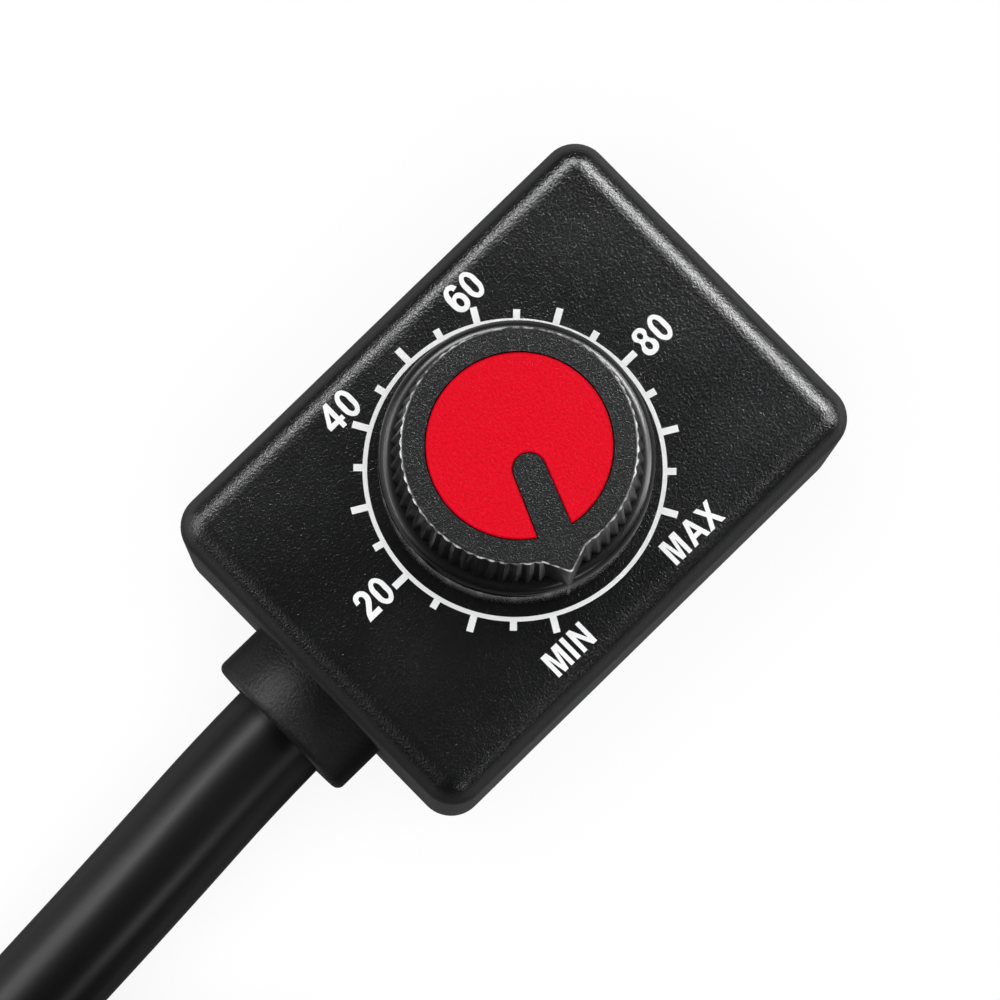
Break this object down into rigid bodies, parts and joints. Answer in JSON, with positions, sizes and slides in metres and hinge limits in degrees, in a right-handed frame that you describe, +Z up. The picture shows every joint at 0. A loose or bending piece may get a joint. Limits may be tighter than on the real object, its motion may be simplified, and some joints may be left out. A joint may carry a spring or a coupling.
{
  "type": "rotary dimmer switch",
  "caption": "Small black box with a fluted pointer knob over a printed dial, a red knob cap, and a round cable coiled to bare core ends.",
  "frame": {"origin": "middle of the box's underside", "axes": "+X along the box's length, away from the cable; +Z up along the knob's axis"},
  "size_m": [0.1209, 0.0886, 0.032],
  "materials": {
    "housing_plastic": "spark-eroded black moulding",
    "cover_plastic": "satin black moulding",
    "screw_steel": "blackened steel",
    "gland_rubber": "textured black rubber",
    "cable_jacket": "smooth black jacket",
    "tie_nylon": "black nylon",
    "purple_insulation": "purple core insulation",
    "grey_insulation": "grey core insulation",
    "tinned_copper": "tinned strands",
    "sleeve_black": "shrink sleeve",
    "bush_zinc": "die-cast zinc",
    "plated_steel": "plated steel",
    "laminate": "brown paper laminate",
    "terminal_brass": "tinned brass",
    "shaft_alloy": "turned alloy",
    "rotor_plastic": "natural moulding",
    "wiper_bronze": "spring bronze",
    "knob_plastic": "textured top and gloss skirt",
    "cap_red": "fine-grained red"
  },
  "bodies": {
    "base": {"housing": "housing_plastic", "base_cover": "cover_plastic", "cover_screws": "screw_steel", "cable_gland": "gland_rubber", "cable_lead": "cable_jacket", "cable_coil": "cable_jacket", "coil_tie": "tie_nylon", "tail_purple": "purple_insulation", "tail_grey": "grey_insulation", "tail_ends": "tinned_copper", "core_purple": "purple_insulation", "core_grey": "grey_insulation", "solder_sleeves": "sleeve_black", "pot_bush": "bush_zinc", "pot_washer": "plated_steel", "pot_nut": "plated_steel", "pot_can": "plated_steel", "pot_wafer": "laminate", "pot_terminals": "terminal_brass"},
    "knob": {"knob_body": "knob_plastic", "knob_cap": "cap_red", "pot_shaft": "shaft_alloy", "shaft_clip": "plated_steel", "pot_rotor": "rotor_plastic", "pot_wiper": "wiper_bronze"}
  },
  "joints": [
    {"name": "knob_turn", "type": "hinge", "parent": "base", "child": "knob", "pos_m": [0, 0, 0.0184], "axis": [0, 0, -1], "range_deg": [0, 300]}
  ]
}
